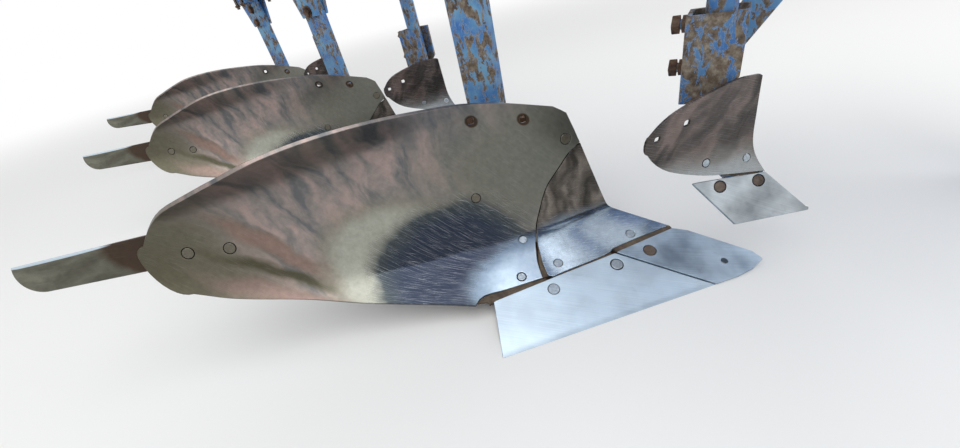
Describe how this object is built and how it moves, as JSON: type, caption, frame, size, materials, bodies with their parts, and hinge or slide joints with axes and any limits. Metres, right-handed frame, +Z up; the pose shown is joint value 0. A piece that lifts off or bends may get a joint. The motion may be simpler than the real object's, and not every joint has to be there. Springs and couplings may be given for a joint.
{
  "type": "mounted moldboard plough",
  "caption": "Mounted moldboard plough with polished bodies and skimmers on legs below a diagonal beam, three-point headstock, cranked cross shaft and parking stand.",
  "frame": {"origin": "middle of the bounding box on the ground, under the beam", "axes": "+X is the way it travels, +Y the land side (left), +Z up; it turns the soil to the right (-Y)"},
  "size_m": [3.5978, 1.6528, 1.21],
  "materials": {
    "polished_steel": "soil-polished hardened steel, mirror bright with fine scratches",
    "ground_steel": "bright ground steel with grinding lines",
    "point_steel": "bright ground steel with grinding lines, grimy joints",
    "strip_steel": "dull worn steel with bright edges",
    "rusty_casting": "brown rust",
    "worn_steel": "soil-worn steel with rust in the low spots",
    "worn_blue_paint": "chipped blue enamel over brown rust",
    "blue_paint": "blue enamel, scuffed at the edges",
    "bare_screw_steel": "greasy turned steel"
  },
  "bodies": {
    "frame": {"leg_1": "worn_blue_paint", "leg_2": "worn_blue_paint", "leg_3": "worn_blue_paint", "frog_1": "rusty_casting", "frog_2": "rusty_casting", "frog_3": "rusty_casting", "moldboard_1": "polished_steel", "moldboard_2": "polished_steel", "moldboard_3": "polished_steel", "shin_1": "polished_steel", "shin_2": "polished_steel", "shin_3": "polished_steel", "share_1": "ground_steel", "share_2": "ground_steel", "share_3": "ground_steel", "point_1": "point_steel", "point_2": "point_steel", "point_3": "point_steel", "tail_strip_1": "strip_steel", "tail_strip_2": "strip_steel", "tail_strip_3": "strip_steel", "landside_1": "worn_steel", "landside_2": "worn_steel", "landside_3": "worn_steel", "stay_1": "rusty_casting", "stay_2": "rusty_casting", "stay_3": "rusty_casting", "skimmer_board_1": "polished_steel", "skimmer_board_2": "polished_steel", "skimmer_board_3": "polished_steel", "skimmer_share_1": "ground_steel", "skimmer_share_2": "ground_steel", "skimmer_share_3": "ground_steel", "skimmer_stem_1": "worn_blue_paint", "skimmer_stem_2": "worn_blue_paint", "skimmer_stem_3": "worn_blue_paint", "skimmer_clamp_1": "worn_blue_paint", "skimmer_clamp_2": "worn_blue_paint", "skimmer_clamp_3": "worn_blue_paint", "skimmer_bracket_1": "worn_blue_paint", "skimmer_bracket_2": "worn_blue_paint", "skimmer_bracket_3": "worn_blue_paint", "leg_bracket_1": "worn_blue_paint", "leg_bracket_2": "worn_blue_paint", "leg_bracket_3": "worn_blue_paint", "main_beam": "blue_paint", "cross_beam": "blue_paint", "frame_brace": "blue_paint", "hanger_plate": "worn_blue_paint", "tower": "blue_paint", "tower_brace": "blue_paint", "shaft_bearings": "blue_paint", "screw_tube": "blue_paint", "stand_socket": "blue_paint"},
    "cross_shaft": {"cross_shaft": "blue_paint"},
    "adjusting_screw": {"screw_rod": "bare_screw_steel"},
    "parking_stand": {"stand_leg": "blue_paint"}
  },
  "joints": [
    {"name": "cross_shaft_turn", "type": "hinge", "parent": "frame", "child": "cross_shaft", "pos_m": [1.6539, 0.18492, 0.56], "axis": [0, 1, 0], "range_deg": [-12, 12]},
    {"name": "screw_travel", "type": "slide", "parent": "frame", "child": "adjusting_screw", "axis": [1, 0, 0], "range_m": [-0.04, 0.04]},
    {"name": "stand_lift", "type": "slide", "parent": "frame", "child": "parking_stand", "axis": [0, 0, 1], "range_m": [0, 0.35]}
  ],
  "couplings": [
    {"joint": "screw_travel", "follows": "cross_shaft_turn", "m_per_rad": 0.19}
  ]
}
